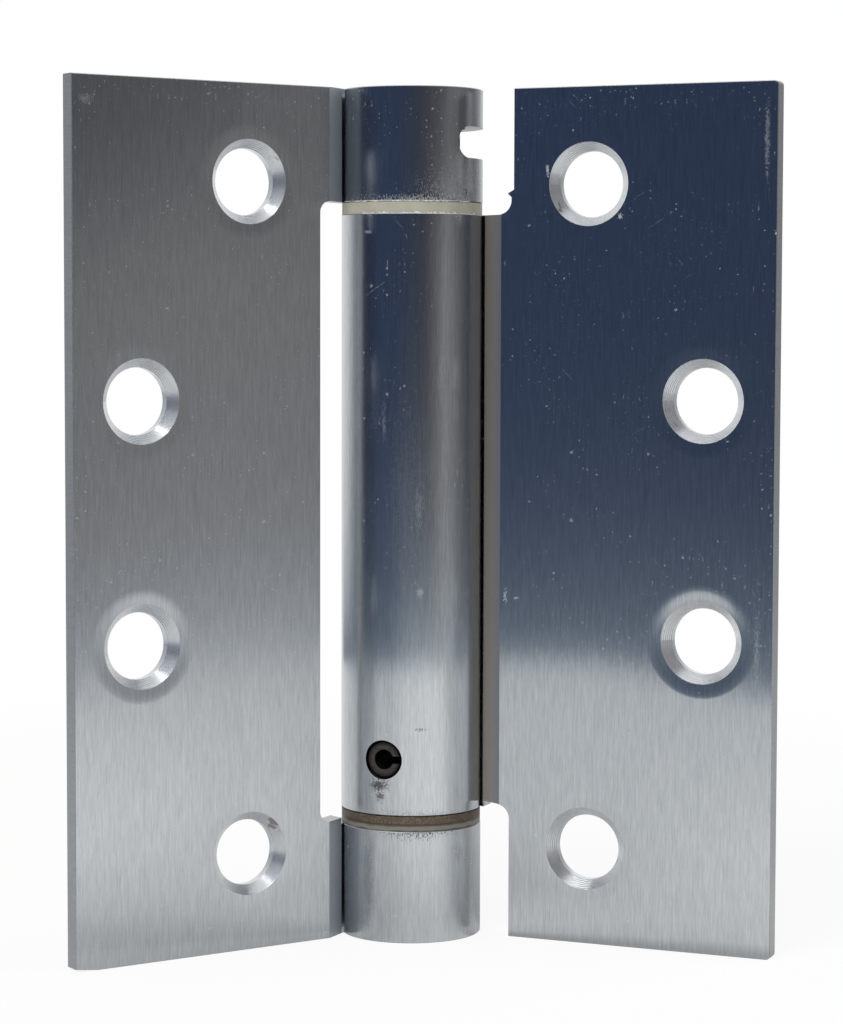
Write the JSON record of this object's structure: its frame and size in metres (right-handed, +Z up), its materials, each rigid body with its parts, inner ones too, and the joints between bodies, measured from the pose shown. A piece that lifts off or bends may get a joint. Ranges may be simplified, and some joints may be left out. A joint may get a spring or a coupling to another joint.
{
  "type": "spring loaded door hinge",
  "caption": "Self-closing door hinge: two countersunk steel leaves rolled round one pin line, a coil spring in the barrel and a slotted top knuckle where its tension is set.",
  "frame": {"origin": "on the pin line, at the lower end of the hinge", "axes": "+Z up the pin line; the frame leaf reaches along -X with its countersunk face towards -Y"},
  "size_m": [0.0811, 0.0516, 0.1143],
  "materials": {
    "plated_steel": "satin",
    "nylon": "matte",
    "bronze": "satin",
    "black_steel": "satin",
    "turned_steel": "satin",
    "spring_steel": "satin"
  },
  "bodies": {
    "frame_leaf": {"frame_leaf": "plated_steel", "bottom_plug": "turned_steel", "center_rod": "turned_steel", "thrust_washer": "bronze", "lower_washer": "nylon"},
    "door_leaf": {"door_leaf": "plated_steel", "spring_anchor": "turned_steel", "anchor_roll_pin": "black_steel", "top_washer": "nylon", "torsion_spring": "spring_steel"},
    "adjuster": {"tension_adjuster": "turned_steel"}
  },
  "joints": [
    {"name": "leaf_swing", "type": "hinge", "parent": "frame_leaf", "child": "door_leaf", "pos_m": [0, 0, 0], "axis": [0, 0, 1], "range_deg": [-122.8, 57.2]},
    {"name": "adjuster_turn", "type": "hinge", "parent": "door_leaf", "child": "adjuster", "pos_m": [0, 0, 0], "axis": [0, 0, 1], "range_deg": [-180, 0], "stiffness_Nm_per_rad": 0.94, "deforming": ["torsion_spring"]}
  ]
}
